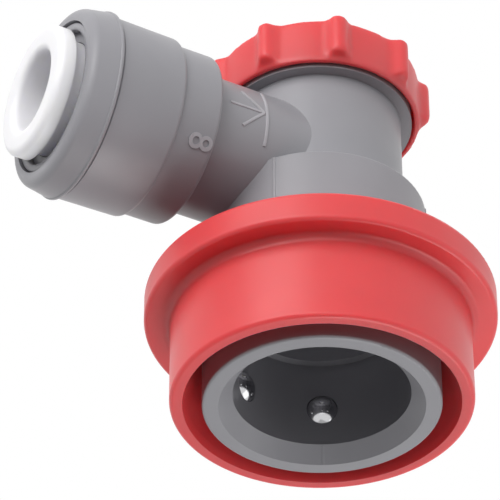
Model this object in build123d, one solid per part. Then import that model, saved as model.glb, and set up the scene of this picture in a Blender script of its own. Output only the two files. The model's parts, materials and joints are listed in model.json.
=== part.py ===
from build123d import *
import os

# Ball-lock quick disconnect coupling with a push-to-connect arm for 8 mm tube.
# Millimetres. Heights (..._H) are measured up the barrel from the socket's mouth, and
# reaches (..._S) out along the arm from the barrel's axis. The arm points along -X.
# At export everything is set down by LEDGE_H, so that the origin is on the barrel's
# axis where the post's seal bore starts.

# Socket, valve port and barrel of the body
SOCKET_BORE_R = 8.85
SOCKET_WALL = 3.03
LEAD_IN_REACH = 1.4
LEAD_IN_H = 1.56
LEDGE_H = 11.2
SEAL_BORE_R = 7.95
SEAL_BORE_LENGTH = 4.5
PORT_CONE_LENGTH = 1.5
PORT_R = 3.2
PORT_LENGTH = 3.3
CHAMBER_R = 6.6
SHOULDER_R = 10.95
SHOULDER_TOP_H = 23.75
BARREL_WALL = 2.15
BARREL_TOP_H = 35.6
TOP_FLANGE_REACH = 1.15
TOP_FLANGE_LENGTH = 2.6
EDGE_ROUND = 0.3

# Locking balls
BALL_R = 2.0
BALL_SHOW = 0.83
BALL_H = 5.8
BALL_PAIR_HALF_ANGLE = 30.0
BALL_TRAVEL = 0.85
BALL_SEAT_GAP = 0.05

# Locking collar and its spring
COLLAR_WALL = 1.6
COLLAR_MOUTH_WALL = 1.3
COLLAR_LEAD_IN_LENGTH = 0.8
COLLAR_BASE_H = 0.2
COLLAR_FLANGE_REACH = 2.66
COLLAR_FLANGE_LENGTH = 3.25
COLLAR_TOP_H = 13.1
COLLAR_FLANGE_ROOT_ROUND = 0.8
COLLAR_EDGE_ROUND = 0.45
COLLAR_GUIDE_GAP = 0.07
COLLAR_SPRING_LEDGE_H = 7.2
COLLAR_STROKE = 3.0
SPRING_FLANGE_GAP = 0.2
SPRING_FLANGE_DROP = 0.4
SPRING_FLANGE_LENGTH = 1.7
COLLAR_SPRING_WIRE_R = 0.3
COLLAR_SPRING_ROOM = 0.51
COLLAR_SPRING_TURNS = 3.5
SPRING_END_GAP = 0.03
WIRE_SIDES = 6

# Screw cap and its seal
CAP_WALL = 0.65
CAP_SKIRT_GAP = 0.2
CAP_DISC_LENGTH = 3.05
CAP_RIM_WIDTH = 2.75
CAP_RECESS_DEPTH = 0.8
CAP_SEAT_GAP = 0.05
CAP_PLUG_GAP = 0.1
CAP_PLUG_LENGTH = 5.5
CAP_PLUG_CHAMFER = 0.6
CAP_LUGS = 9
CAP_LUG_PHASE = 12.2
CAP_LUG_REACH = 1.15
CAP_LUG_WIDTH = 1.9
CAP_LUG_STEP = 0.6
CAP_LUG_FLARE = 0.4
CAP_LUG_END_ROUND = 0.8
CAP_SEAL_CORD_R = 0.8
CAP_SEAL_GAP = 0.04

# Valve
STEM_R = 1.6
STEM_TIP_DEPTH = 0.8
STEM_GUIDE_GAP = 0.08
STEM_GUIDE_OVERLAP = 1.5
VALVE_STROKE = 3.0
VALVE_HEAD_REACH = 3.3
VALVE_HEAD_LENGTH = 1.6
VALVE_SEAL_CORD_R = 0.75
VALVE_SEAL_MARGIN = 0.1
SEAL_GROOVE_GAP = 0.03
VALVE_SPRING_WIRE_R = 0.35
VALVE_SPRING_ROOM = 0.95
VALVE_SPRING_TURNS = 5.0

# Arm: a neck, a band and a housing, one after the other
ARM_H = 27.7
NECK_R = 7.25
NECK_LENGTH = 15.8
BAND_DROP = 0.5
BAND_LENGTH = 4.35
HOUSING_R = 9.45
HOUSING_FLARE = 0.1
HOUSING_LENGTH = 7.2
HOUSING_REAR_ROUND = 0.8
BAND_ROUND = 0.45
SEAM_CHAMFER = 0.2
FLOW_BORE_R = 3.0

# Push-to-connect fitting, from the tube's stop out to the collet's face
TUBE_R = 4.0
TUBE_BORE_GAP = 0.12
TUBE_STOP_LENGTH = 1.5
TUBE_SEAL_CORD_R = 1.1
TUBE_SEAL_GAP = 0.05
TUBE_SEAL_END_WALL = 10.35
SEAL_SPACER_LENGTH = 0.7
GRIP_CHAMBER_R = 7.2
RETAINER_SPIGOT_WALL = 1.25
RETAINER_SPIGOT_LENGTH = 2.75
RETAINER_SPIGOT_GAP = 0.01
RETAINER_STEP = 0.4
RETAINER_TAPER = 0.55
RETAINER_LENGTH = 3.3
RETAINER_FRONT_ROUND = 1.0
RETAINER_LIP = 1.85
RETAINER_RECESS_DEPTH = 1.05
RETAINER_BORE_R = 6.05
RETAINER_CAM_LENGTH = 2.1
COLLET_GAP = 0.1
COLLET_STROKE = 1.5
COLLET_STOP_GAP = 0.15
COLLET_BORE_R = 4.2
COLLET_FLANGE_R = 6.9
COLLET_FLANGE_LENGTH = 1.75
COLLET_FRONT_ROUND = 0.7
COLLET_HEAD_DROP = 0.4
COLLET_FINGER_R = 4.6
COLLET_FINGER_LENGTH = 3.9
COLLET_TAIL_LENGTH = 0.5
COLLET_SLOTS = 4
COLLET_SLOT_WIDTH = 0.9
TEETH = 8
TEETH_INSET = 0.7
TEETH_THICKNESS = 0.3
TEETH_GAP = 0.04
TEETH_WALL = 0.46
TEETH_BITE = 0.15
TEETH_BAND_WIDTH = 1.3
TOOTH_WIDTH = 1.6

# Heights and radii that follow from the sizes above
SOCKET_TUBE_R = SOCKET_BORE_R + SOCKET_WALL
SEAL_BORE_TOP_H = LEDGE_H + SEAL_BORE_LENGTH
PORT_CONE_TOP_H = SEAL_BORE_TOP_H + PORT_CONE_LENGTH
VALVE_SEAT_H = PORT_CONE_TOP_H + PORT_LENGTH
BARREL_R = CHAMBER_R + BARREL_WALL
TOP_FLANGE_R = BARREL_R + TOP_FLANGE_REACH
TOP_FACE_H = BARREL_TOP_H + TOP_FLANGE_LENGTH

BALL_CENTRE_R = SOCKET_BORE_R - BALL_SHOW + BALL_R
COLLAR_CHAMBER_R = SOCKET_TUBE_R + 2 * COLLAR_SPRING_WIRE_R + 2 * COLLAR_SPRING_ROOM
COLLAR_R = COLLAR_CHAMBER_R + COLLAR_WALL
COLLAR_MOUTH_R = COLLAR_R - COLLAR_MOUTH_WALL
COLLAR_FLANGE_R = COLLAR_R + COLLAR_FLANGE_REACH
COLLAR_FLANGE_H = COLLAR_TOP_H - COLLAR_FLANGE_LENGTH
SPRING_FLANGE_R = COLLAR_CHAMBER_R - SPRING_FLANGE_GAP
SPRING_FLANGE_H = COLLAR_TOP_H - SPRING_FLANGE_DROP
COLLAR_SPRING_MEAN_R = (SOCKET_TUBE_R + COLLAR_CHAMBER_R) / 2

CAP_SKIRT_R = TOP_FLANGE_R + CAP_SKIRT_GAP
CAP_SKIRT_H = BARREL_TOP_H + CAP_SKIRT_GAP
CAP_R = CAP_SKIRT_R + CAP_WALL
CAP_LUG_TIP_R = CAP_R + CAP_LUG_REACH
CAP_FACE_H = TOP_FACE_H + CAP_SEAT_GAP
CAP_TOP_H = CAP_FACE_H + CAP_DISC_LENGTH
CAP_PLUG_R = CHAMBER_R - CAP_PLUG_GAP
CAP_PLUG_END_H = CAP_FACE_H - CAP_PLUG_LENGTH
CAP_SEAL_MEAN_R = CAP_PLUG_R + CAP_SEAL_CORD_R + CAP_SEAL_GAP
CAP_SEAL_POCKET_R = CAP_SEAL_MEAN_R + CAP_SEAL_CORD_R + CAP_SEAL_GAP
CAP_SEAL_FLOOR_H = CAP_FACE_H - 2 * (CAP_SEAL_CORD_R + CAP_SEAL_GAP)

STEM_TIP_H = PORT_CONE_TOP_H - STEM_TIP_DEPTH
STEM_END_H = CAP_PLUG_END_H + STEM_GUIDE_OVERLAP
STEM_GUIDE_TOP_H = STEM_END_H + VALVE_STROKE + STEM_GUIDE_GAP
VALVE_HEAD_R = STEM_R + VALVE_HEAD_REACH
VALVE_SEAL_MEAN_R = VALVE_HEAD_R - VALVE_SEAL_CORD_R - VALVE_SEAL_MARGIN
VALVE_HEAD_H = VALVE_SEAT_H + 1.25 * VALVE_SEAL_CORD_R
VALVE_HEAD_TOP_H = VALVE_HEAD_H + VALVE_HEAD_LENGTH
VALVE_SPRING_MEAN_R = STEM_R + VALVE_SPRING_ROOM + VALVE_SPRING_WIRE_R

# Radii along the arm that follow from the housing's
BAND_R = HOUSING_R - BAND_DROP
RETAINER_SPIGOT_R = HOUSING_R - RETAINER_SPIGOT_WALL
RETAINER_R = HOUSING_R + RETAINER_STEP
RETAINER_RECESS_R = RETAINER_R - RETAINER_LIP

# Reaches along the arm that follow from the sizes above
HOUSING_S = NECK_LENGTH + BAND_LENGTH
HOUSING_END_S = HOUSING_S + HOUSING_LENGTH
TUBE_SEAL_FLOOR_S = HOUSING_END_S - TUBE_SEAL_END_WALL
TUBE_STOP_S = TUBE_SEAL_FLOOR_S - TUBE_STOP_LENGTH
TUBE_BORE_R = TUBE_R + TUBE_BORE_GAP
TUBE_SEAL_MEAN_R = TUBE_R + TUBE_SEAL_GAP + TUBE_SEAL_CORD_R
TUBE_SEAL_BORE_R = TUBE_SEAL_MEAN_R + TUBE_SEAL_CORD_R + TUBE_SEAL_GAP
INNER_SEAL_S = TUBE_SEAL_FLOOR_S + TUBE_SEAL_GAP + TUBE_SEAL_CORD_R
SPACER_S = INNER_SEAL_S + TUBE_SEAL_CORD_R + TUBE_SEAL_GAP
OUTER_SEAL_S = SPACER_S + SEAL_SPACER_LENGTH + TUBE_SEAL_GAP + TUBE_SEAL_CORD_R
GRIP_CHAMBER_S = OUTER_SEAL_S + TUBE_SEAL_CORD_R + TUBE_SEAL_GAP
RETAINER_SPIGOT_S = HOUSING_END_S - RETAINER_SPIGOT_LENGTH
RETAINER_CAM_S = RETAINER_SPIGOT_S + RETAINER_CAM_LENGTH
RETAINER_FRONT_S = HOUSING_END_S + RETAINER_LENGTH
RETAINER_RECESS_S = RETAINER_FRONT_S - RETAINER_RECESS_DEPTH
COLLET_FLANGE_S = RETAINER_RECESS_S + COLLET_STROKE + COLLET_STOP_GAP
COLLET_FRONT_S = COLLET_FLANGE_S + COLLET_FLANGE_LENGTH
COLLET_R = RETAINER_BORE_R - COLLET_GAP
COLLET_HEAD_R = GRIP_CHAMBER_R - COLLET_HEAD_DROP
COLLET_END_S = RETAINER_SPIGOT_S - COLLET_TAIL_LENGTH
COLLET_FINGER_END_S = COLLET_END_S + COLLET_FINGER_LENGTH
TEETH_S = COLLET_END_S + TEETH_INSET
TEETH_RING_OUTER_R = COLLET_HEAD_R - TEETH_WALL
TEETH_RING_INNER_R = TEETH_RING_OUTER_R - TEETH_BAND_WIDTH
TEETH_TIP_R = TUBE_R - TEETH_BITE

ON_ARM = Pos(0, 0, ARM_H) * Rot(0, -90, 0)


def turned(outline, rounds=()):
    """Turn an outline of (radius, height) points about Z, with its listed corners rounded."""
    face = make_face(Polyline(*outline, close=True))
    for corner, radius in rounds:
        vertex = face.vertices().sort_by_distance(Vector(*corner))[0]
        face = fillet(vertex, radius)
    return revolve(Plane.XZ * face, Axis.Z)


def ring(mean_radius, cord_radius, height):
    """A sealing ring of round cord about Z."""
    return Pos(0, 0, height) * Torus(mean_radius, cord_radius)


def wire_spring(mean_radius, wire_radius, turns, low, high):
    """A helical spring about Z whose wire, of a simple flat-sided section, lies between two heights."""
    rise = high - low - 2 * (wire_radius + SPRING_END_GAP)
    path = Helix(rise / turns, rise, mean_radius)
    section = Plane(path @ 0, z_dir=path % 0) * RegularPolygon(wire_radius, WIRE_SIDES)
    return Pos(0, 0, low + wire_radius + SPRING_END_GAP) * sweep(section, path, is_frenet=True)


def ball_places():
    """The balls' angles: a pair each side, about the direction square to the arm."""
    for side in (90, 270):
        for turn in (-BALL_PAIR_HALF_ANGLE, BALL_PAIR_HALF_ANGLE):
            yield side + turn


def body_outside():
    barrel = turned([
        (0, 0),
        (SOCKET_TUBE_R, 0),
        (SOCKET_TUBE_R, SPRING_FLANGE_H),
        (SPRING_FLANGE_R, SPRING_FLANGE_H),
        (SPRING_FLANGE_R, SPRING_FLANGE_H + SPRING_FLANGE_LENGTH),
        (SHOULDER_R, SPRING_FLANGE_H + SPRING_FLANGE_LENGTH),
        (SHOULDER_R, SHOULDER_TOP_H),
        (BARREL_R, SHOULDER_TOP_H),
        (BARREL_R, BARREL_TOP_H),
        (TOP_FLANGE_R, BARREL_TOP_H),
        (TOP_FLANGE_R, TOP_FACE_H),
        (0, TOP_FACE_H),
    ], [
        ((SOCKET_TUBE_R, 0), EDGE_ROUND),
        ((SHOULDER_R, SHOULDER_TOP_H), EDGE_ROUND),
    ])
    arm = turned([
        (0, 0),
        (NECK_R, 0),
        (NECK_R, NECK_LENGTH),
        (BAND_R, NECK_LENGTH),
        (BAND_R, HOUSING_S),
        (HOUSING_R, HOUSING_S),
        (HOUSING_R + HOUSING_FLARE, HOUSING_END_S - SEAM_CHAMFER),
        (HOUSING_R + HOUSING_FLARE - SEAM_CHAMFER, HOUSING_END_S),
        (0, HOUSING_END_S),
    ], [
        ((BAND_R, NECK_LENGTH), BAND_ROUND),
        ((HOUSING_R, HOUSING_S), min(HOUSING_REAR_ROUND, 0.9 * (HOUSING_R - BAND_R))),
    ])
    return barrel + ON_ARM * arm


def barrel_bores():
    return turned([
        (0, -LEAD_IN_H),
        (SOCKET_BORE_R + LEAD_IN_REACH, -LEAD_IN_H),
        (SOCKET_BORE_R + LEAD_IN_REACH, 0),
        (SOCKET_BORE_R, LEAD_IN_H),
        (SOCKET_BORE_R, LEDGE_H),
        (SEAL_BORE_R, LEDGE_H),
        (SEAL_BORE_R, SEAL_BORE_TOP_H),
        (PORT_R, PORT_CONE_TOP_H),
        (PORT_R, VALVE_SEAT_H),
        (CHAMBER_R, VALVE_SEAT_H),
        (CHAMBER_R, CAP_SEAL_FLOOR_H),
        (CAP_SEAL_POCKET_R, CAP_SEAL_FLOOR_H),
        (CAP_SEAL_POCKET_R, CAP_FACE_H),
        (0, CAP_FACE_H),
    ])


def arm_bores():
    return ON_ARM * turned([
        (0, 0),
        (FLOW_BORE_R, 0),
        (FLOW_BORE_R, TUBE_STOP_S),
        (TUBE_BORE_R, TUBE_STOP_S),
        (TUBE_BORE_R, TUBE_SEAL_FLOOR_S),
        (TUBE_SEAL_BORE_R, TUBE_SEAL_FLOOR_S),
        (TUBE_SEAL_BORE_R, GRIP_CHAMBER_S),
        (GRIP_CHAMBER_R, GRIP_CHAMBER_S),
        (GRIP_CHAMBER_R, RETAINER_SPIGOT_S),
        (RETAINER_SPIGOT_R, RETAINER_SPIGOT_S),
        (RETAINER_SPIGOT_R, RETAINER_FRONT_S),
        (0, RETAINER_FRONT_S),
    ])


def ball_seat():
    """The pocket of a ball: a cup that keeps it from falling in, open outwards."""
    radius = BALL_R + BALL_SEAT_GAP
    way_out = SOCKET_TUBE_R - BALL_CENTRE_R + BALL_R
    bore = Rot(0, 90, 0) * Cylinder(radius, way_out, align=(Align.CENTER, Align.CENTER, Align.MIN))
    return Pos(BALL_CENTRE_R, 0, BALL_H) * (Sphere(radius) + bore)


def coupling_body():
    body = body_outside() - barrel_bores() - arm_bores()
    for angle in ball_places():
        body -= Rot(0, 0, angle) * ball_seat()
    return body


def lock_ball(angle):
    return Rot(0, 0, angle) * Pos(BALL_CENTRE_R, 0, BALL_H) * Sphere(BALL_R)


def locking_collar():
    """The collar's cam cone lets the balls out evenly as it is drawn up."""
    slope = BALL_TRAVEL / COLLAR_STROKE
    ball_tip_r = BALL_CENTRE_R + BALL_R
    guide_r = SOCKET_TUBE_R + COLLAR_GUIDE_GAP

    def cam_r(height):
        return ball_tip_r + BALL_SEAT_GAP + slope * (BALL_H - height + slope)

    cam_top_h = BALL_H + slope + (ball_tip_r + BALL_SEAT_GAP - guide_r) / slope
    lead_in_h = COLLAR_BASE_H + COLLAR_LEAD_IN_LENGTH
    return turned([
        (COLLAR_MOUTH_R, COLLAR_BASE_H),
        (COLLAR_R, COLLAR_BASE_H),
        (COLLAR_R, COLLAR_FLANGE_H),
        (COLLAR_FLANGE_R, COLLAR_FLANGE_H),
        (COLLAR_FLANGE_R, COLLAR_TOP_H),
        (COLLAR_CHAMBER_R, COLLAR_TOP_H),
        (COLLAR_CHAMBER_R, COLLAR_SPRING_LEDGE_H),
        (guide_r, COLLAR_SPRING_LEDGE_H),
        (guide_r, cam_top_h),
        (cam_r(lead_in_h), lead_in_h),
    ], [
        ((COLLAR_R, COLLAR_BASE_H), COLLAR_EDGE_ROUND),
        ((COLLAR_R, COLLAR_FLANGE_H), COLLAR_FLANGE_ROOT_ROUND),
        ((COLLAR_FLANGE_R, COLLAR_FLANGE_H), COLLAR_EDGE_ROUND),
        ((COLLAR_FLANGE_R, COLLAR_TOP_H), COLLAR_EDGE_ROUND),
    ])


def cap_lugs():
    """The grip lugs, flared into the wall, with round noses and round lower ends."""
    half = CAP_LUG_WIDTH / 2
    low = CAP_SKIRT_H + CAP_LUG_STEP
    nose_r = CAP_LUG_TIP_R - half
    root_half = half + CAP_LUG_FLARE + CAP_WALL
    side = [(CAP_SKIRT_R, root_half), (CAP_R + CAP_LUG_FLARE, half), (nose_r, half)]
    mirrored = [(x, -y) for x, y in reversed(side)]
    lug = make_face(Polyline(*side, *mirrored, close=True)) + Pos(nose_r, 0) * Circle(half)
    outline = Circle(CAP_R)
    for k in range(CAP_LUGS):
        outline += Rot(0, 0, CAP_LUG_PHASE + k * 360 / CAP_LUGS) * lug
    lugs = Pos(0, 0, low) * extrude(outline, CAP_TOP_H - low)
    envelope = turned([
        (CAP_SKIRT_R, low),
        (CAP_LUG_TIP_R, low),
        (CAP_LUG_TIP_R, CAP_TOP_H),
        (CAP_SKIRT_R, CAP_TOP_H),
    ], [
        ((CAP_LUG_TIP_R, low), CAP_LUG_END_ROUND),
        ((CAP_LUG_TIP_R, CAP_TOP_H), EDGE_ROUND),
    ])
    return lugs & envelope


def top_cap():
    guide_r = STEM_R + STEM_GUIDE_GAP
    cap = turned([
        (0, CAP_TOP_H - CAP_RECESS_DEPTH),
        (CAP_R - CAP_RIM_WIDTH, CAP_TOP_H - CAP_RECESS_DEPTH),
        (CAP_R - CAP_RIM_WIDTH, CAP_TOP_H),
        (CAP_R, CAP_TOP_H),
        (CAP_R, CAP_SKIRT_H),
        (CAP_SKIRT_R, CAP_SKIRT_H),
        (CAP_SKIRT_R, CAP_FACE_H),
        (CAP_PLUG_R, CAP_FACE_H),
        (CAP_PLUG_R, CAP_PLUG_END_H + CAP_PLUG_CHAMFER),
        (CAP_PLUG_R - CAP_PLUG_CHAMFER, CAP_PLUG_END_H),
        (guide_r, CAP_PLUG_END_H),
        (guide_r, STEM_GUIDE_TOP_H),
        (0, STEM_GUIDE_TOP_H),
    ], [((CAP_R, CAP_TOP_H), EDGE_ROUND)])
    return cap + cap_lugs()


def cap_seal():
    return ring(CAP_SEAL_MEAN_R, CAP_SEAL_CORD_R, CAP_SEAL_FLOOR_H + CAP_SEAL_CORD_R + CAP_SEAL_GAP)


def valve_seal_ring(extra=0.0):
    return ring(VALVE_SEAL_MEAN_R, VALVE_SEAL_CORD_R + extra, VALVE_SEAT_H + VALVE_SEAL_CORD_R)


def valve_stem():
    stem = turned([
        (0, STEM_TIP_H),
        (STEM_R, STEM_TIP_H),
        (STEM_R, VALVE_HEAD_H),
        (VALVE_HEAD_R, VALVE_HEAD_H),
        (VALVE_HEAD_R, VALVE_HEAD_TOP_H),
        (STEM_R, VALVE_HEAD_TOP_H),
        (STEM_R, STEM_END_H),
        (0, STEM_END_H),
    ], [((STEM_R, STEM_TIP_H), STEM_R / 2)])
    return stem - valve_seal_ring(SEAL_GROOVE_GAP)


def tube_retainer():
    """The front shell: it closes the housing, and its cam cone grips the collet."""
    spigot_r = RETAINER_SPIGOT_R - RETAINER_SPIGOT_GAP
    front = (RETAINER_R - RETAINER_TAPER, RETAINER_FRONT_S)
    front_land = front[0] - RETAINER_RECESS_R
    return ON_ARM * turned([
        (RETAINER_BORE_R, RETAINER_RECESS_S),
        (RETAINER_RECESS_R, RETAINER_RECESS_S),
        (RETAINER_RECESS_R, RETAINER_FRONT_S),
        front,
        (RETAINER_R, HOUSING_END_S + SEAM_CHAMFER),
        (RETAINER_R - SEAM_CHAMFER, HOUSING_END_S),
        (spigot_r, HOUSING_END_S),
        (spigot_r, RETAINER_SPIGOT_S),
        (GRIP_CHAMBER_R, RETAINER_SPIGOT_S),
        (RETAINER_BORE_R, RETAINER_CAM_S),
    ], [(front, min(RETAINER_FRONT_ROUND, 0.9 * front_land))])


def release_collet():
    """A white collet: a push flange, a bore for the tube and four fingers with a barbed head."""
    cam_slope = RETAINER_CAM_LENGTH / (GRIP_CHAMBER_R - RETAINER_BORE_R)
    head_s = RETAINER_SPIGOT_S + cam_slope * (COLLET_HEAD_DROP - COLLET_GAP)
    neck_s = head_s + cam_slope * (COLLET_HEAD_R - COLLET_R)
    collet = turned([
        (COLLET_FINGER_R, COLLET_END_S),
        (COLLET_HEAD_R, COLLET_END_S),
        (COLLET_HEAD_R, head_s),
        (COLLET_R, neck_s),
        (COLLET_R, COLLET_FLANGE_S),
        (COLLET_FLANGE_R, COLLET_FLANGE_S),
        (COLLET_FLANGE_R, COLLET_FRONT_S),
        (COLLET_BORE_R, COLLET_FRONT_S),
        (COLLET_BORE_R, COLLET_FINGER_END_S),
        (COLLET_FINGER_R, COLLET_FINGER_END_S),
    ], [
        ((COLLET_FLANGE_R, COLLET_FRONT_S), COLLET_FRONT_ROUND),
        ((COLLET_BORE_R, COLLET_FRONT_S), COLLET_FRONT_ROUND),
    ])
    groove_r = TEETH_RING_OUTER_R + TEETH_GAP
    collet -= Pos(0, 0, TEETH_S) * Cylinder(groove_r, TEETH_THICKNESS + 2 * TEETH_GAP)
    slot = Pos(0, 0, COLLET_END_S) * Box(
        COLLET_HEAD_R + COLLET_GAP, COLLET_SLOT_WIDTH, COLLET_FINGER_LENGTH,
        align=(Align.MIN, Align.CENTER, Align.MIN))
    for k in range(COLLET_SLOTS):
        collet -= Rot(0, 0, (k + 0.5) * 360 / COLLET_SLOTS) * slot
    return ON_ARM * collet


def collet_teeth():
    """A thin steel grab ring with inward teeth, in the groove of the collet's fingers."""
    band = Circle(TEETH_RING_OUTER_R) - Circle(TEETH_RING_INNER_R)
    tooth_length = (TEETH_RING_INNER_R + TEETH_RING_OUTER_R) / 2 - TEETH_TIP_R
    tooth = Pos(TEETH_TIP_R + tooth_length / 2, 0) * Rectangle(tooth_length, TOOTH_WIDTH)
    for k in range(TEETH):
        band += Rot(0, 0, k * 360 / TEETH) * tooth
    return ON_ARM * Pos(0, 0, TEETH_S - TEETH_THICKNESS / 2) * extrude(band, TEETH_THICKNESS)


def tube_seal(middle):
    return ON_ARM * ring(TUBE_SEAL_MEAN_R, TUBE_SEAL_CORD_R, middle)


def seal_spacer():
    outer = TUBE_SEAL_BORE_R - TUBE_SEAL_GAP
    inner = TUBE_BORE_R
    return ON_ARM * turned([
        (inner, SPACER_S),
        (outer, SPACER_S),
        (outer, SPACER_S + SEAL_SPACER_LENGTH),
        (inner, SPACER_S + SEAL_SPACER_LENGTH),
    ])


nodes = {
    "coupling_body": coupling_body(),
    "locking_collar": locking_collar(),
    "collar_spring": wire_spring(
        COLLAR_SPRING_MEAN_R, COLLAR_SPRING_WIRE_R, COLLAR_SPRING_TURNS,
        COLLAR_SPRING_LEDGE_H, SPRING_FLANGE_H),
    "top_cap": top_cap(),
    "cap_seal": cap_seal(),
    "valve_stem": valve_stem(),
    "valve_seal": valve_seal_ring(),
    "valve_spring": wire_spring(
        VALVE_SPRING_MEAN_R, VALVE_SPRING_WIRE_R, VALVE_SPRING_TURNS,
        VALVE_HEAD_TOP_H, CAP_PLUG_END_H),
    "tube_retainer": tube_retainer(),
    "release_collet": release_collet(),
    "collet_teeth": collet_teeth(),
    "tube_seal_inner": tube_seal(INNER_SEAL_S),
    "seal_spacer": seal_spacer(),
    "tube_seal_outer": tube_seal(OUTER_SEAL_S),
}
for number, angle in enumerate(ball_places(), start=1):
    nodes[f"lock_ball_{number}"] = lock_ball(angle)

os.makedirs("parts", exist_ok=True)
for name, shape in nodes.items():
    export_step(Pos(0, 0, -LEDGE_H) * shape, f"parts/{name}.step")
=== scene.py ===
"""Looks of a plastic quick disconnect coupling, laid out as a Blender add-on.

Units are metres in the part's own frame: +Z up the barrel, -X out along the arm.
"""

import json
from math import cos, radians, sin, tau

import bmesh
import bpy
from bpy.props import FloatProperty, FloatVectorProperty, PointerProperty, StringProperty
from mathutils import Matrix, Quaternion, Vector


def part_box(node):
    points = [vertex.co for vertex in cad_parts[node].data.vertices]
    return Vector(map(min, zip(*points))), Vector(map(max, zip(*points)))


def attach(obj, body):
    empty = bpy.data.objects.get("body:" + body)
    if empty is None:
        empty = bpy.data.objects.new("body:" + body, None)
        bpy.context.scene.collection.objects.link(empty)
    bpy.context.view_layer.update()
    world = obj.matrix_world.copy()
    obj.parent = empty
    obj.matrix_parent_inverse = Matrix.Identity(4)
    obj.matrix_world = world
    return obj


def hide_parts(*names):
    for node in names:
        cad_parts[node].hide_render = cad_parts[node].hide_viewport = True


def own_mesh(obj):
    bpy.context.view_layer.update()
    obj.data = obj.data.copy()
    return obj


bl_info = {
    "name": "Quick Disconnect Coupling",
    "version": (1, 0, 0),
    "blender": (4, 5, 0),
    "location": "3D View > Sidebar > Coupling",
    "description": "Finishes, moulded marks and threads of a ball-lock quick disconnect coupling",
    "category": "Object",
}

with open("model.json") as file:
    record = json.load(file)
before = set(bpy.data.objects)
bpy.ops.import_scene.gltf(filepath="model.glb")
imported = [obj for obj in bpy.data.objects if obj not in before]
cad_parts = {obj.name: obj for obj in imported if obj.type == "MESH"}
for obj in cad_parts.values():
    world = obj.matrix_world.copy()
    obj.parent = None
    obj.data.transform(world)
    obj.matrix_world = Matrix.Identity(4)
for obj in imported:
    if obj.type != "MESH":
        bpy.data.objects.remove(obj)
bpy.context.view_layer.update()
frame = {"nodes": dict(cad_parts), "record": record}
NODES = frame["nodes"]
MM = 0.001

# Materials that more than one step looks up
GREY = "Grey acetal, moulded"
# The raised marks' grey is painted paler than the body's: a painted highlight for the light the
# marks catch
PAINTED_HIGHLIGHT = "Grey acetal, painted highlight"
RED = "Red acetal, moulded"
WIRE = "Drawn stainless steel"

# Places read from the frame
BODY_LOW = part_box("coupling_body")[0]
CAP_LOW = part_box("top_cap")[0]
RETAINER_LOW, RETAINER_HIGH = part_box("tube_retainer")
ARM_Z = (RETAINER_LOW[2] + RETAINER_HIGH[2]) / 2
STEM_TOP_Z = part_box("valve_stem")[1][2]

# Marks on the arm. A reach is measured from the barrel's axis out along the arm,
# and an angle round the arm is measured up from its -Y side.
FLOW_ANGLE = radians(4.3)
FLOW_BAR_REACH = 10.0 * MM
FLOW_BAR_TURN = radians(30)
FLOW_BARB_REACH = 12.7 * MM
FLOW_BARB_TURN = radians(18.5)
FLOW_TAIL_REACH = 14.2 * MM
FLOW_STEPS = 16
DIGIT_REACH = 17.55 * MM
DIGIT_ANGLE = radians(-39.5)
DIGIT_FONT_SHARE = 1.58      # the font's size over the height of its digits
DIGIT_SWELL = 0.02 * MM      # thickens the font's strokes

# Mould lines: two down the shoulder, two down the socket's lead-in.
# A turn is about Z, from the -Y side towards -X, in degrees.
SHOULDER_TURNS = (-54, 54)
SHOULDER_LOW_Z, SHOULDER_HIGH_Z = 2.2 * MM, 12.4 * MM
SHOULDER_LINE = {"width": 0.5 * MM, "height": 0.1 * MM}
LEAD_TURNS = (30, 210)
LEAD_MOUTH_R, LEAD_BORE_R = 10.2 * MM, 8.9 * MM
LEAD_START, LEAD_DEPTH = 0.02 * MM, 1.5 * MM
LEAD_SLOPE = 1.4 / 1.56      # the cone's fall in radius over its depth
LEAD_LINE = {"width": 0.3 * MM, "height": 0.03 * MM}
LINE_STEPS = 8

# The ring in the retainer's face, and the lip behind the retainer, whose outline is
# in millimetres along the arm and out from LIP_R
RING_INNER_R, RING_OUTER_R = 7.05 * MM, 7.84 * MM
RING_EDGE = 0.12 * MM
RING_FLOOR, RING_TOP = 1.0 * MM, 0.22 * MM     # both below the retainer's front face
LIP_REACH, LIP_R = 27.42 * MM, 9.86 * MM
LIP_OUTLINE = ((0, -0.2), (0, -0.04), (0.06, 0.05), (0.2, 0.07), (0.36, 0.02), (0.42, -0.2))

# The softened screw cap
CAP_VOXEL = 0.2 * MM
CAP_WELD = 0.002 * MM
CAP_OUTSIDE_R = 9.2 * MM     # everything within this keeps its fit
CAP_PASSES = 10
GUIDE_ROOM_Z = 3.08 * MM     # from the valve stem's top to the end of its guide
GUIDE_OUTER_R, GUIDE_INNER_R = 2.0 * MM, 1.2 * MM
GUIDE_ABOVE, GUIDE_BELOW = 0.3 * MM, 0.25 * MM     # what counts as the guide's end
GUIDE_EASE_R, GUIDE_EASE_Z = 0.08 * MM, 0.15 * MM

# Thread and springs
THREAD_TURNS = 1.35
THREAD_START = 0.9 * MM      # up from the plug's end
THREAD_SECTION_R = 0.4 * MM
SPRINGS = (  # solid, joint that shortens it, body, wire radius, turns, end that stays
    ("collar_spring", "collar_slide", "housing", 0.3 * MM, 3.5, "high"),
    ("valve_spring", "valve_slide", "valve", 0.35 * MM, 5.0, "low"),
)
COIL_INPUTS = ("Radius", "Low", "Turns", "Rise", "Section")

# Lamps: name, azimuth in degrees from the -Y side towards -X, elevation, watts
LAMPS = (
    ("key", 60, 20, 2.0),
    ("fill", 30, 0, 0.6),
    ("low_right", -60, -30, 0.4),
    ("low_back", -115, -65, 2.0),
)
LAMP_SIZE = 0.4
LAMP_DISTANCE = 0.6

# The room's strength at the horizon and overhead, and the heights between which it changes,
# as the sine of the elevation
ROOM_LIGHT, ROOM_TOP_SHARE = 1.36, 0.2
HORIZON_LOW, HORIZON_HIGH = -0.06, 0.06
TOP_LOW, TOP_HIGH = 0.45, 0.7
WHITE = (1.0, 1.0, 1.0, 1.0)

FLOOR_HALF = 0.7


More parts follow.
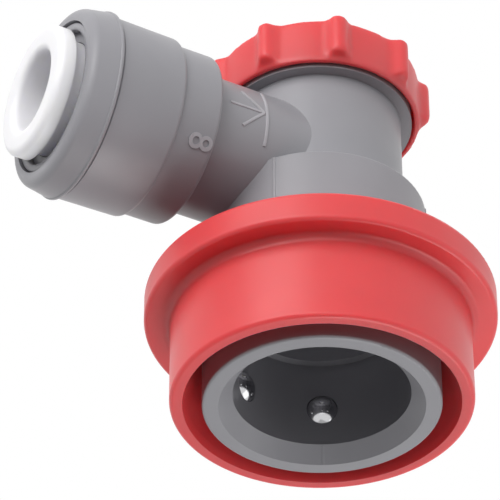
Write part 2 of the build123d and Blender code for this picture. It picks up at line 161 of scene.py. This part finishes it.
def linear(code):
    """A colour written as sRGB hex, as the linear values that nodes take."""
    parts = [int(code.lstrip("#")[i:i + 2], 16) / 255 for i in (0, 2, 4)]
    return tuple(c / 12.92 if c <= 0.04045 else ((c + 0.055) / 1.055) ** 2.4
                 for c in parts) + (1.0,)


# ---------------------------------------------------------------- settings

class CouplingFinish(bpy.types.PropertyGroup):
    """Colours and surface values of the coupling's plastics and metals"""

    grey: StringProperty(
        name="Grey", description="Colour of the grey body moulding, sRGB hex",
        default="#97969B")
    # A paler grey for the raised marks, a painted highlight
    highlight_grey: StringProperty(
        name="Highlight grey", description="Colour of the raised marks, painted paler as a highlight",
        default="#AEACB1")
    red: StringProperty(
        name="Red", description="Colour of the red collar and cap, sRGB hex", default="#E2474A")
    white: StringProperty(
        name="White", description="Colour of the release collet, sRGB hex", default="#F6F5F9")
    ball: StringProperty(
        name="Ball steel", description="Colour of the chrome steel balls, sRGB hex",
        default="#C8C8CA")
    wire: StringProperty(
        name="Spring steel", description="Colour of wire and teeth, sRGB hex",
        default="#A3A19C")
    rubber: StringProperty(
        name="Rubber", description="Colour of the seals, sRGB hex", default="#1B1B1C")
    plastic_roughness: FloatProperty(
        name="Plastic roughness", description="Gloss of the moulded acetal", default=0.36,
        min=0.05, max=1.0, subtype="FACTOR")
    grain: FloatProperty(
        name="Mould grain", description="Size of the fine mould texture", default=0.35 * MM,
        min=0.05 * MM, unit="LENGTH", precision=5)


class CouplingMarks(bpy.types.PropertyGroup):
    """Sizes of the moulded marks and threads"""

    mark_height: FloatProperty(
        name="Mark height", description="How far the marks stand out", default=0.12 * MM,
        min=0.0, unit="LENGTH", precision=5)
    mark_width: FloatProperty(
        name="Mark width", description="Width of a moulded line", default=0.42 * MM,
        min=0.0, unit="LENGTH", precision=5)
    neck_radius: FloatProperty(
        name="Neck radius", description="Radius of the arm's neck", default=7.25 * MM,
        unit="LENGTH", precision=5)
    band_radius: FloatProperty(
        name="Band radius", description="Radius of the arm's band", default=8.95 * MM,
        unit="LENGTH", precision=5)
    shoulder_radius: FloatProperty(
        name="Shoulder radius", description="Radius of the shoulder under the barrel",
        default=10.95 * MM, unit="LENGTH", precision=5)
    size_digit: StringProperty(
        name="Tube size", description="The plain number on the band", default="8")
    digit_height: FloatProperty(
        name="Digit height", description="Height of the number", default=2.3 * MM,
        unit="LENGTH", precision=5)
    plug_radius: FloatProperty(
        name="Plug radius", description="Radius of the cap's plug", default=6.5 * MM,
        unit="LENGTH", precision=5)
    thread_pitch: FloatProperty(
        name="Thread pitch", description="Pitch of the cap's thread", default=2.0 * MM,
        unit="LENGTH", precision=5)


class CouplingStage(bpy.types.PropertyGroup):
    """Camera and floor"""

    distance: FloatProperty(
        name="Camera distance", description="From the camera to the point it looks at",
        default=330.3 * MM, unit="LENGTH")
    azimuth: FloatProperty(
        name="Azimuth", description="Direction the camera looks in, from +Y towards +X",
        default=radians(28.55), subtype="ANGLE")
    elevation: FloatProperty(
        name="Elevation", description="How steeply the camera looks up",
        default=radians(37.29), subtype="ANGLE")
    roll: FloatProperty(
        name="Roll", description="Turn of the camera about its axis",
        default=radians(-0.05), subtype="ANGLE")
    lens: FloatProperty(name="Lens", description="Focal length in millimetres", default=236.0)
    aim: FloatVectorProperty(
        name="Aim", description="The point the camera looks at",
        default=(-7.87 * MM, 0.38 * MM, 5.69 * MM), subtype="XYZ", unit="LENGTH", precision=5)
    floor_drop: FloatProperty(
        name="Floor drop", description="How far the floor lies below the coupling",
        default=1.2, unit="LENGTH")


# ---------------------------------------------------------------- nodes

def add_node(tree, kind, links=None, **settings):
    """Add a node. Links feed its inputs; settings are its properties or input values."""
    node = tree.nodes.new(kind)
    for key, value in settings.items():
        name = key.replace("_", " ")
        socket = next((s for s in node.inputs if s.name.lower() == name.lower()), None)
        if hasattr(node, key):
            setattr(node, key, value)
        elif socket is not None:
            socket.default_value = value
        else:
            raise KeyError(f"{kind} has no {key}")
    for target, source in (links or {}).items():
        tree.links.new(source, node.inputs[target])
    return node


def new_material(name):
    """An empty node material with its Object coordinates, its surface and its output."""
    material = bpy.data.materials.new(name)
    material.use_nodes = True
    tree = material.node_tree
    tree.nodes.clear()
    place = add_node(tree, "ShaderNodeTexCoord").outputs["Object"]
    surface = add_node(tree, "ShaderNodeBsdfPrincipled")
    add_node(tree, "ShaderNodeOutputMaterial", {"Surface": surface.outputs["BSDF"]})
    return material, tree, place, surface


def noise(tree, place, per_mm, detail=2.0):
    """A noise's factor, from how many of its cells there are in a millimetre."""
    return add_node(tree, "ShaderNodeTexNoise", {"Vector": place},
                    Scale=per_mm / MM, Detail=detail).outputs["Fac"]


def spread(tree, factor, low, high):
    """The factor's range of 0 to 1 spread from low to high."""
    return add_node(tree, "ShaderNodeMapRange", {"Value": factor},
                    To_Min=low, To_Max=high).outputs["Result"]


def shade_between(tree, factor, light, dark):
    """A colour that runs from light to dark as the factor goes from 0 to 1."""
    mix = add_node(tree, "ShaderNodeMix", data_type="RGBA")
    low, high = [s for s in mix.inputs if s.type == "RGBA"]
    low.default_value = light
    high.default_value = dark
    tree.links.new(factor, mix.inputs["Factor"])
    return next(s for s in mix.outputs if s.type == "RGBA")


def scaled(colour, share):
    """The colour with that share of its light."""
    return tuple(c * share for c in colour[:3]) + (1.0,)


# ---------------------------------------------------------------- materials

def moulded_acetal(name, code, settings, flow_strength, softness=0.0, reach=(0.9, 0.9, 1.0),
                   depth=0.8 * MM):
    """Injection moulded acetal: waxy sheen, faint flow marks, fine mould grain.

    The eye reads it as a plastic with some body: broad, soft highlights that a mirror-flat
    surface wouldn't have, and in the red and white a shade that light has softened.
    """
    material, tree, place, surface = new_material(name)
    # Flow marks: broad, faint changes of shade about 5 mm across.
    flow = noise(tree, place, 1 / 5)
    base = linear(code)
    tone = spread(tree, flow, 0.0, flow_strength)
    tree.links.new(shade_between(tree, tone, base, scaled(base, 0.7)), surface.inputs["Base Color"])
    # Mould grain: a spark-eroded texture, drawn a little coarse so that it shows.
    fine = add_node(tree, "ShaderNodeTexNoise", {"Vector": place},
                    Scale=1 / settings.grain, Detail=3.0)
    bump = add_node(tree, "ShaderNodeBump", {"Height": fine.outputs["Fac"]},
                    Strength=0.15, Distance=0.02 * MM)
    tree.links.new(bump.outputs["Normal"], surface.inputs["Normal"])
    # Where the flow marks are darker, the skin is a little less glossy.
    gloss = spread(tree, flow, settings.plastic_roughness - 0.04, settings.plastic_roughness + 0.08)
    tree.links.new(gloss, surface.inputs["Roughness"])
    surface.inputs["IOR"].default_value = 1.48
    if softness:
        # Acetal lets a little light in.
        surface.inputs["Subsurface Weight"].default_value = softness
        surface.inputs["Subsurface Radius"].default_value = reach
        surface.inputs["Subsurface Scale"].default_value = depth
    return material


def steel(name, code, rough):
    """A bare metal of this colour, which takes its roughness from a node."""
    material, tree, place, surface = new_material(name)
    tree.links.new(rough(tree, place), surface.inputs["Roughness"])
    surface.inputs["Base Color"].default_value = linear(code)
    surface.inputs["Metallic"].default_value = 1.0
    return material


def chrome_steel(code):
    """Ground and lapped bearing balls: a mirror with hair-fine scratches.

    The balls show as bright glints in the dark socket, with the rim mirrored in them.
    """
    return steel("Lapped chrome steel", code,
                 lambda tree, place: spread(tree, noise(tree, place, 6, detail=4.0), 0.08, 0.2))


def drawn_steel(code):
    """Drawn stainless wire and strip: satin, with fine lines along the draw.

    The lines break up the highlight, so the wire looks drawn and not polished.
    """
    def lines(tree, place):
        wave = add_node(tree, "ShaderNodeTexWave", {"Vector": place},
                        Scale=2.5 / MM, Distortion=3.0)
        return spread(tree, wave.outputs["Fac"], 0.24, 0.4)

    return steel(WIRE, code, lines)


def nitrile_rubber(code):
    """Moulded nitrile seal: near black, soft sheen, a fine bloom on the surface.

    The bloom lifts it from plain black, so that the seals' round edges still show.
    """
    material, tree, place, surface = new_material("Nitrile rubber")
    base = linear(code)
    bloom = shade_between(tree, noise(tree, place, 1.5, detail=5.0), base, scaled(base, 2.2))
    tree.links.new(bloom, surface.inputs["Base Color"])
    surface.inputs["Roughness"].default_value = 0.55
    return material


def matt_floor():
    """A pale painted board: two near tones, so that it isn't a flat white."""
    material, tree, place, surface = new_material("Pale matt floor")
    tone = shade_between(tree, noise(tree, place, 1 / 40), linear("#EFEFEF"), linear("#E6E6E6"))
    tree.links.new(tone, surface.inputs["Base Color"])
    surface.inputs["Roughness"].default_value = 0.8
    return material


# ---------------------------------------------------------------- meshes

def finish_piece(mesh, name, body, material):
    """Make a named object of a mesh, with the material of that name, on its body."""
    piece = bpy.data.objects.new(name, mesh)
    bpy.context.scene.collection.objects.link(piece)
    mesh.name = name
    mesh.materials.clear()
    mesh.materials.append(bpy.data.materials[material])
    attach(piece, body)
    return piece


def smooth_shade(mesh):
    for face in mesh.polygons:
        face.use_smooth = True


def bmesh_to_mesh(bm, name):
    """Orient the faces and hand over a bmesh."""
    bmesh.ops.recalc_face_normals(bm, faces=bm.faces)
    mesh = bpy.data.meshes.new(name)
    bm.to_mesh(mesh)
    bm.free()
    return mesh


def evaluated_mesh(context, thing):
    """The mesh that an object's modifiers or its text make; the object itself goes."""
    context.view_layer.update()
    mesh = bpy.data.meshes.new_from_object(thing.evaluated_get(context.evaluated_depsgraph_get()))
    bpy.data.objects.remove(thing)
    return mesh


def add_object(context, name, data):
    thing = bpy.data.objects.new(name, data)
    context.scene.collection.objects.link(thing)
    return thing


def sideways(turn):
    """The direction away from the Z axis at this turn, in degrees from -Y towards -X."""
    return Vector((-sin(radians(turn)), -cos(radians(turn)), 0))


def on_arm(reach, angle, radius):
    """A point beside the arm: reach from the barrel's axis, angle up from the -Y side."""
    return Vector((-reach, -radius * cos(angle), ARM_Z + radius * sin(angle)))


def join_rows(bm, first, second):
    """Faces between two closed rows of vertices."""
    for a in range(len(first)):
        b = (a + 1) % len(first)
        bm.faces.new((first[a], first[b], second[b], second[a]))


def add_ridge(bm, points, outs, width, height):
    """A moulded ridge with sloping sides; outs are the surface's normals at the points."""
    section = ((-0.5, -0.5), (-0.3, 0.8), (0.0, 1.0), (0.3, 0.8), (0.5, -0.5))
    rows = []
    for k, (point, out) in enumerate(zip(points, outs)):
        along = points[min(k + 1, len(points) - 1)] - points[max(k - 1, 0)]
        side = out.cross(along).normalized()
        rows.append([bm.verts.new(point + side * share * width + out * lift * height)
                     for share, lift in section])
    for first, second in zip(rows, rows[1:]):
        join_rows(bm, first, second)
    bm.faces.new(reversed(rows[0]))
    bm.faces.new(rows[-1])


def ridge_on_arm(bm, path, radius, width, height):
    """A moulded ridge along a path of (reach, angle) on the arm."""
    points = [on_arm(reach, angle, radius) for reach, angle in path]
    outs = [Vector((0, -cos(angle), sin(angle))) for reach, angle in path]
    add_ridge(bm, points, outs, width, height)


def turned_ring(bm, outline, steps=96):
    """A closed ring about the arm's axis from an outline of (reach, radius) points."""
    rows = [[bm.verts.new(on_arm(reach, tau * k / steps, radius)) for reach, radius in outline]
            for k in range(steps)]
    for k in range(steps):
        join_rows(bm, rows[k], rows[(k + 1) % steps])


# ---------------------------------------------------------------- operators

class COUPLING_OT_finishes(bpy.types.Operator):
    """Give every moulded, steel and rubber part its material"""

    bl_idname = "coupling.finishes"
    bl_label = "Finishes"

    def execute(self, context):
        finish = context.scene.coupling_finish
        grey = moulded_acetal(GREY, finish.grey, finish, 0.35)
        # A paler copy of the grey acetal for the raised marks: a painted highlight
        moulded_acetal(PAINTED_HIGHLIGHT, finish.highlight_grey, finish, 0.2)
        by_slot = {
            "grey_acetal": grey,
            "red_acetal": moulded_acetal(
                RED, finish.red, finish, 0.3, softness=0.6, reach=(1.0, 0.1, 0.2), depth=3 * MM),
            "white_acetal": moulded_acetal(
                "White acetal, moulded", finish.white, finish, 0.06, softness=0.6, depth=1.6 * MM),
            "ball_steel": chrome_steel(finish.ball),
            "spring_steel": drawn_steel(finish.wire),
            "black_rubber": nitrile_rubber(finish.rubber),
        }
        for part in frame["record"]["subparts"]:
            mesh = NODES[part["node"]].data
            mesh.materials.clear()
            mesh.materials.append(by_slot[part["material_slot"]])
        return {"FINISHED"}


class COUPLING_OT_flow_mark(bpy.types.Operator):
    """Raise the flow mark on the arm's neck: an arrow against a bar"""

    bl_idname = "coupling.flow_mark"
    bl_label = "Flow mark"

    def execute(self, context):
        marks = context.scene.coupling_marks
        tip = FLOW_BAR_REACH + 0.8 * marks.mark_width
        shares = [k / FLOW_STEPS for k in range(FLOW_STEPS + 1)]
        lines = [
            [(FLOW_BAR_REACH, FLOW_ANGLE + FLOW_BAR_TURN * (2 * k - 1)) for k in shares],
            [(tip + (FLOW_TAIL_REACH - tip) * k, FLOW_ANGLE) for k in shares],
        ]
        for turn in (FLOW_BARB_TURN, -FLOW_BARB_TURN):
            lines.append([(tip + (FLOW_BARB_REACH - tip) * k, FLOW_ANGLE + turn * k)
                          for k in shares])
        bm = bmesh.new()
        for line in lines:
            ridge_on_arm(bm, line, marks.neck_radius, marks.mark_width, marks.mark_height)
        # The flow mark takes the paler grey, a painted highlight
        finish_piece(bmesh_to_mesh(bm, "flow_mark"), "flow_mark", "housing", PAINTED_HIGHLIGHT)
        return {"FINISHED"}


class COUPLING_OT_size_digit(bpy.types.Operator):
    """Raise the tube size, a plain number, on the arm's band"""

    bl_idname = "coupling.size_digit"
    bl_label = "Size digit"

    def execute(self, context):
        marks = context.scene.coupling_marks
        curve = bpy.data.curves.new("size_digit", "FONT")
        curve.body = marks.size_digit
        curve.align_x = "CENTER"
        curve.align_y = "CENTER"
        curve.size = marks.digit_height * DIGIT_FONT_SHARE
        curve.resolution_u = 6
        curve.offset = DIGIT_SWELL
        curve.extrude = marks.mark_height
        mesh = evaluated_mesh(context, add_object(context, "size_digit_text", curve))
        # The flat digit is wrapped round the band, its top towards the barrel.
        for vertex in mesh.vertices:
            across, up, out = vertex.co
            vertex.co = on_arm(DIGIT_REACH - up, DIGIT_ANGLE - across / marks.band_radius,
                               marks.band_radius + out)
        # The digit takes the paler grey, a painted highlight
        finish_piece(mesh, "size_digit", "housing", PAINTED_HIGHLIGHT)
        return {"FINISHED"}


class COUPLING_OT_seam_marks(bpy.types.Operator):
    """Raise the fine mould lines on the shoulder and on the socket's lead-in"""

    bl_idname = "coupling.seam_marks"
    bl_label = "Mould lines"

    def execute(self, context):
        marks = context.scene.coupling_marks
        shares = [k / LINE_STEPS for k in range(LINE_STEPS + 1)]
        up = Vector((0, 0, 1))
        bm = bmesh.new()
        for turn in SHOULDER_TURNS:
            out = sideways(turn)
            low = out * marks.shoulder_radius + up * SHOULDER_LOW_Z
            high = out * marks.shoulder_radius + up * SHOULDER_HIGH_Z
            points = [low.lerp(high, k) for k in shares]
            add_ridge(bm, points, [out] * len(points), **SHOULDER_LINE)
        for turn in LEAD_TURNS:
            away = sideways(turn)
            mouth = away * LEAD_MOUTH_R + up * (BODY_LOW[2] + LEAD_START)
            bore = away * LEAD_BORE_R + up * (BODY_LOW[2] + LEAD_DEPTH)
            out = -(away + up * LEAD_SLOPE).normalized()
            points = [mouth.lerp(bore, k) for k in shares]
            add_ridge(bm, points, [out] * len(points), **LEAD_LINE)
        finish_piece(bmesh_to_mesh(bm, "mould_lines"), "mould_lines", "housing",
                     GREY)
        return {"FINISHED"}


class COUPLING_OT_cartridge_ring(bpy.types.Operator):
    """Turn the inner ring of the retainer's face, parted from its rim by a fine gap"""

    bl_idname = "coupling.cartridge_ring"
    bl_label = "Cartridge ring"

    def execute(self, context):
        front = -RETAINER_LOW[0]
        floor, top = front - RING_FLOOR, front - RING_TOP
        ring = [(floor, RING_INNER_R), (floor, RING_OUTER_R), (top - RING_EDGE, RING_OUTER_R),
                (top, RING_OUTER_R - RING_EDGE), (top, RING_INNER_R + RING_EDGE),
                (top - RING_EDGE, RING_INNER_R)]
        # The retainer's rear edge has a fine rounded lip that catches the light.
        lip = [(LIP_REACH + along * MM, LIP_R + out * MM) for along, out in LIP_OUTLINE]
        bm = bmesh.new()
        turned_ring(bm, ring)
        turned_ring(bm, lip)
        mesh = bmesh_to_mesh(bm, "cartridge_ring")
        smooth_shade(mesh)
        finish_piece(mesh, "cartridge_ring", "housing", GREY)
        return {"FINISHED"}


class COUPLING_OT_soft_cap(bpy.types.Operator):
    """Blend the screw cap's lugs softly into its rim, as the moulding has them"""

    bl_idname = "coupling.soft_cap"
    bl_label = "Soft cap"

    def execute(self, context):
        mesh = NODES["top_cap"].data.copy()
        bm = bmesh.new()
        bm.from_mesh(mesh)
        bmesh.ops.remove_doubles(bm, verts=bm.verts, dist=CAP_WELD)
        bm.to_mesh(mesh)
        bm.free()
        rough = add_object(context, "cap_blank", mesh)
        remesh = rough.modifiers.new("remesh", "REMESH")
        remesh.mode = "VOXEL"
        remesh.voxel_size = CAP_VOXEL
        soft = evaluated_mesh(context, rough)
        bm = bmesh.new()
        bm.from_mesh(soft)
        # Only the lugs and the rim soften; the plug and the stem's guide keep their fits.
        outside = [v for v in bm.verts if v.co.xy.length > CAP_OUTSIDE_R]
        for _ in range(CAP_PASSES):
            bmesh.ops.smooth_vert(bm, verts=outside, factor=0.5, use_axis_x=True, use_axis_y=True,
                                  use_axis_z=True)
        # The remesh rounds the guide's inner corners, so the guide is eased round the stem.
        guide_top = STEM_TOP_Z + GUIDE_ROOM_Z
        for v in bm.verts:
            reach = v.co.xy.length
            if reach < GUIDE_OUTER_R and v.co.z < guide_top + GUIDE_ABOVE:
                if v.co.z > guide_top - GUIDE_BELOW:
                    v.co.z += GUIDE_EASE_Z
                if reach > GUIDE_INNER_R:
                    v.co.xy *= (reach + GUIDE_EASE_R) / reach
        bm.to_mesh(soft)
        bm.free()
        smooth_shade(soft)
        cap = finish_piece(soft, "soft_cap", "screw_cap", RED)
        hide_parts("top_cap")
        return {"FINISHED"}


def coil_tree(material):
    """Nodes that wind a many-sided section about Z, for a spring or a thread."""
    tree = bpy.data.node_groups.new("coil", "GeometryNodeTree")
    tree.interface.new_socket("Geometry", in_out="OUTPUT", socket_type="NodeSocketGeometry")
    for label in COIL_INPUTS:
        tree.interface.new_socket(label, in_out="INPUT", socket_type="NodeSocketFloat")
    tree.interface.new_socket("Sides", in_out="INPUT", socket_type="NodeSocketInt")
    size = add_node(tree, "NodeGroupInput").outputs
    path = add_node(tree, "GeometryNodeCurveSpiral", {
        "Rotations": size["Turns"], "Start Radius": size["Radius"],
        "End Radius": size["Radius"], "Height": size["Rise"]}, Resolution=48)
    section = add_node(tree, "GeometryNodeCurvePrimitiveCircle", {
        "Radius": size["Section"], "Resolution": size["Sides"]})
    ridge = add_node(tree, "GeometryNodeCurveToMesh", {
        "Curve": path.outputs[0], "Profile Curve": section.outputs[0]}, Fill_Caps=True)
    up = add_node(tree, "ShaderNodeCombineXYZ", {"Z": size["Low"]})
    placed = add_node(tree, "GeometryNodeTransform", {
        "Geometry": ridge.outputs[0], "Translation": up.outputs[0]})
    real = add_node(tree, "GeometryNodeRealizeInstances", {"Geometry": placed.outputs[0]})
    coated = add_node(tree, "GeometryNodeSetMaterial", {"Geometry": real.outputs[0]},
                      Material=material)
    add_node(tree, "NodeGroupOutput", {"Geometry": coated.outputs[0]})
    return tree


def wind_coil(context, name, body, material, sizes):
    """Run the coil's nodes with these sizes and keep the result as a plain mesh."""
    carrier = add_object(context, name + "_path", bpy.data.meshes.new(name + "_path"))
    modifier = carrier.modifiers.new("coil", "NODES")
    modifier.node_group = coil_tree(bpy.data.materials[material])
    for socket in modifier.node_group.interface.items_tree:
        if socket.in_out == "INPUT":
            modifier[socket.identifier] = sizes[socket.name]
    mesh = evaluated_mesh(context, carrier)
    bm = bmesh.new()
    bm.from_mesh(mesh)
    return finish_piece(bmesh_to_mesh(bm, name), name, body, material)


class COUPLING_OT_cap_thread(bpy.types.Operator):
    """Wind the screw cap's thread round its plug"""

    bl_idname = "coupling.cap_thread"
    bl_label = "Cap thread"

    def execute(self, context):
        marks = context.scene.coupling_marks
        wind_coil(context, "cap_thread", "screw_cap", RED, {
            "Radius": marks.plug_radius, "Low": CAP_LOW[2] + THREAD_START, "Turns": THREAD_TURNS,
            "Rise": THREAD_TURNS * marks.thread_pitch, "Section": THREAD_SECTION_R, "Sides": 3})
        return {"FINISHED"}


class COUPLING_OT_springs(bpy.types.Operator):
    """Wind the two springs of round wire, in place of their solid nodes"""

    bl_idname = "coupling.springs"
    bl_label = "Springs"

    def execute(self, context):
        for node, joint, body, wire, turns, fixed_end in SPRINGS:
            low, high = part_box(node)
            length = high[2] - low[2]
            spring = wind_coil(context, node + "_wire", body, WIRE, {
                "Radius": high[0] - wire, "Low": low[2] + wire, "Turns": turns,
                "Rise": length - 2 * wire, "Section": wire, "Sides": 16})
            smooth_shade(spring.data)
            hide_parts(node)
            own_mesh(spring)
        return {"FINISHED"}


class COUPLING_OT_stage(bpy.types.Operator):
    """Place the camera, the lamps, the world and the floor"""

    bl_idname = "coupling.stage"
    bl_label = "Stage"

    def execute(self, context):
        stage = context.scene.coupling_stage
        make_camera(context, stage)
        make_world(context)
        make_lamps(context, Vector(stage.aim))
        make_floor(context, stage)
        context.scene.view_settings.view_transform = "Standard"
        return {"FINISHED"}


def make_camera(context, stage):
    """A long lens below and in front of the coupling, looking up."""
    camera = bpy.data.cameras.new("camera")
    camera.lens = stage.lens
    camera.sensor_width = 36.0
    camera.clip_start = 0.01
    look = Vector((sin(stage.azimuth) * cos(stage.elevation),
                   cos(stage.azimuth) * cos(stage.elevation),
                   sin(stage.elevation)))
    rig = add_object(context, "camera", camera)
    rig.location = Vector(stage.aim) - look * stage.distance
    turn = look.to_track_quat("-Z", "Y") @ Quaternion((0, 0, 1), stage.roll)
    rig.rotation_euler = turn.to_euler()
    context.scene.camera = rig


def make_world(context):
    """A soft studio: a bright band above the horizon, dark below, white where it is seen."""
    world = bpy.data.worlds.new("studio")
    context.scene.world = world
    world.use_nodes = True
    tree = world.node_tree
    tree.nodes.clear()
    direction = add_node(tree, "ShaderNodeTexCoord").outputs["Generated"]
    height = add_node(tree, "ShaderNodeSeparateXYZ", {"Vector": direction}).outputs["Z"]
    rise = add_node(tree, "ShaderNodeMapRange", {"Value": height}, From_Min=HORIZON_LOW,
                    From_Max=HORIZON_HIGH, To_Min=0.0, To_Max=ROOM_LIGHT)
    fall = add_node(tree, "ShaderNodeMapRange", {"Value": height}, From_Min=TOP_LOW,
                    From_Max=TOP_HIGH, To_Min=1.0, To_Max=ROOM_TOP_SHARE)
    level = add_node(tree, "ShaderNodeMath", {
        0: rise.outputs["Result"], 1: fall.outputs["Result"]}, operation="MULTIPLY")
    room = add_node(tree, "ShaderNodeBackground", {"Strength": level.outputs[0]}, Color=WHITE)
    white = add_node(tree, "ShaderNodeBackground", Strength=1.0, Color=WHITE)
    # The camera, mirrors and clear pieces see plain white; only the shading sees the room.
    rays = add_node(tree, "ShaderNodeLightPath")
    mirrored = add_node(tree, "ShaderNodeMath", {
        0: rays.outputs["Is Glossy Ray"], 1: rays.outputs["Is Transmission Ray"]},
        operation="MAXIMUM")
    direct = add_node(tree, "ShaderNodeMath", {
        0: rays.outputs["Is Camera Ray"], 1: mirrored.outputs[0]}, operation="MAXIMUM")
    seen = add_node(tree, "ShaderNodeMixShader", {
        0: direct.outputs[0], 1: room.outputs[0], 2: white.outputs[0]})
    add_node(tree, "ShaderNodeOutputWorld", {"Surface": seen.outputs[0]})


def make_lamps(context, target):
    """A large key from the camera's left, a fill beside it and two from low on its right."""
    for name, azimuth, elevation, power in LAMPS:
        lamp = bpy.data.lights.new(name, "AREA")
        lamp.shape = "SQUARE"
        lamp.size = LAMP_SIZE
        lamp.energy = power
        out = sideways(azimuth) * cos(radians(elevation)) + Vector((0, 0, sin(radians(elevation))))
        rig = add_object(context, name, lamp)
        rig.location = target + out * LAMP_DISTANCE
        rig.rotation_euler = (-out).to_track_quat("-Z", "Y").to_euler()


def make_floor(context, stage):
    """A pale floor, well below, because the camera looks up at the coupling."""
    level = BODY_LOW[2] - stage.floor_drop
    bm = bmesh.new()
    bm.faces.new([bm.verts.new((x * FLOOR_HALF, y * FLOOR_HALF, level))
                  for x, y in ((-1, -1), (1, -1), (1, 1), (-1, 1))])
    mesh = bpy.data.meshes.new("floor")
    bm.to_mesh(mesh)
    bm.free()
    mesh.materials.append(matt_floor())
    add_object(context, "floor", mesh)


class COUPLING_PT_panel(bpy.types.Panel):
    """The coupling's settings and steps"""

    bl_idname = "COUPLING_PT_panel"
    bl_label = "Coupling"
    bl_space_type = "VIEW_3D"
    bl_region_type = "UI"
    bl_category = "Coupling"

    def draw(self, context):
        for operator in OPERATORS:
            self.layout.operator(operator.bl_idname)
        for group in GROUPS:
            settings = getattr(context.scene, group)
            for key in settings.bl_rna.properties.keys():
                if key not in ("rna_type", "name"):
                    self.layout.prop(settings, key)


GROUPS = {
    "coupling_finish": CouplingFinish,
    "coupling_marks": CouplingMarks,
    "coupling_stage": CouplingStage,
}
OPERATORS = (
    COUPLING_OT_finishes,
    COUPLING_OT_flow_mark,
    COUPLING_OT_size_digit,
    COUPLING_OT_seam_marks,
    COUPLING_OT_cartridge_ring,
    COUPLING_OT_soft_cap,
    COUPLING_OT_cap_thread,
    COUPLING_OT_springs,
    COUPLING_OT_stage,
)


def register():
    for name, group in GROUPS.items():
        bpy.utils.register_class(group)
        setattr(bpy.types.Scene, name, PointerProperty(type=group))
    for item in (*OPERATORS, COUPLING_PT_panel):
        bpy.utils.register_class(item)


def unregister():
    for item in reversed((*OPERATORS, COUPLING_PT_panel)):
        bpy.utils.unregister_class(item)
    for name, group in GROUPS.items():
        delattr(bpy.types.Scene, name)
        bpy.utils.unregister_class(group)


def main():
    register()
    bpy.ops.coupling.finishes()
    bpy.ops.coupling.flow_mark()
    bpy.ops.coupling.size_digit()
    bpy.ops.coupling.seam_marks()
    bpy.ops.coupling.cartridge_ring()
    bpy.ops.coupling.soft_cap()
    bpy.ops.coupling.cap_thread()
    bpy.ops.coupling.springs()
    bpy.ops.coupling.stage()


if __name__ == "__main__":
    main()
